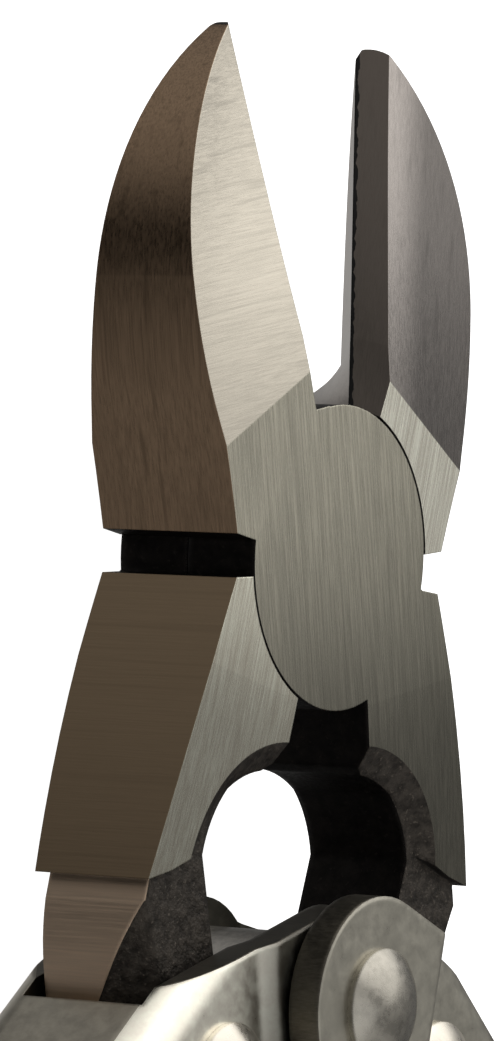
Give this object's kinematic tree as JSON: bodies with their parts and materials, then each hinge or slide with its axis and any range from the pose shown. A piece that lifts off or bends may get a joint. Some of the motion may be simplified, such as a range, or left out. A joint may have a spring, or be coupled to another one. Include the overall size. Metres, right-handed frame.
{
  "type": "compound action diagonal cutting pliers",
  "caption": "Diagonal cutting pliers with a lap joint, compound-action handles folded from steel sheet and riveted to the arms, and two-part plastic grips.",
  "frame": {"origin": "on the head pivot's axis at the back face of the joint", "axes": "+Z out of the joint's front face, +Y along the tool to the jaw tips, +X to the right seen from the front"},
  "size_m": [0.2454, 0.1536, 0.0244],
  "materials": {
    "forged_steel": "ground and brushed on the faces, rough-forged on the tongues",
    "ground_steel": "ground flush",
    "handle_steel": "satin, folded sheet",
    "rivet_steel": "peened, lightly polished",
    "grip_core": "hard moulded plastic",
    "grip_cover": "soft moulded cover"
  },
  "bodies": {
    "front_jaw_half": {"front_jaw": "forged_steel", "head_pivot_pin": "ground_steel"},
    "rear_jaw_half": {"rear_jaw": "forged_steel"},
    "left_handle": {"left_handle_shell": "handle_steel", "left_arm_rivet": "rivet_steel", "left_arm_washer_front": "rivet_steel", "left_arm_washer_rear": "rivet_steel", "left_grip_core": "grip_core", "left_grip_cover": "grip_cover"},
    "right_handle": {"right_handle_shell": "handle_steel", "right_arm_rivet": "rivet_steel", "centre_rivet": "rivet_steel", "centre_bush": "rivet_steel", "right_arm_washer_front": "rivet_steel", "right_arm_washer_rear": "rivet_steel", "right_grip_core": "grip_core", "right_grip_cover": "grip_cover"}
  },
  "joints": [
    {"name": "head_hinge", "type": "hinge", "parent": "front_jaw_half", "child": "rear_jaw_half", "pos_m": [0, 0, 0.0058], "axis": [0, 0, 1], "range_deg": [0, 24.8]},
    {"name": "right_handle_pivot", "type": "hinge", "parent": "front_jaw_half", "child": "right_handle", "pos_m": [0.0135, -0.0374, 0.0058], "axis": [0, 0, 1], "range_deg": [-37.2, 0]},
    {"name": "left_handle_pivot", "type": "hinge", "parent": "rear_jaw_half", "child": "left_handle", "pos_m": [-0.0135, -0.0374, 0.0058], "axis": [0, 0, 1], "range_deg": [0, 37.2]}
  ],
  "couplings": [
    {"joint": "right_handle_pivot", "follows": "head_hinge", "ratio": -1.5},
    {"joint": "left_handle_pivot", "follows": "head_hinge", "ratio": 1.5}
  ]
}
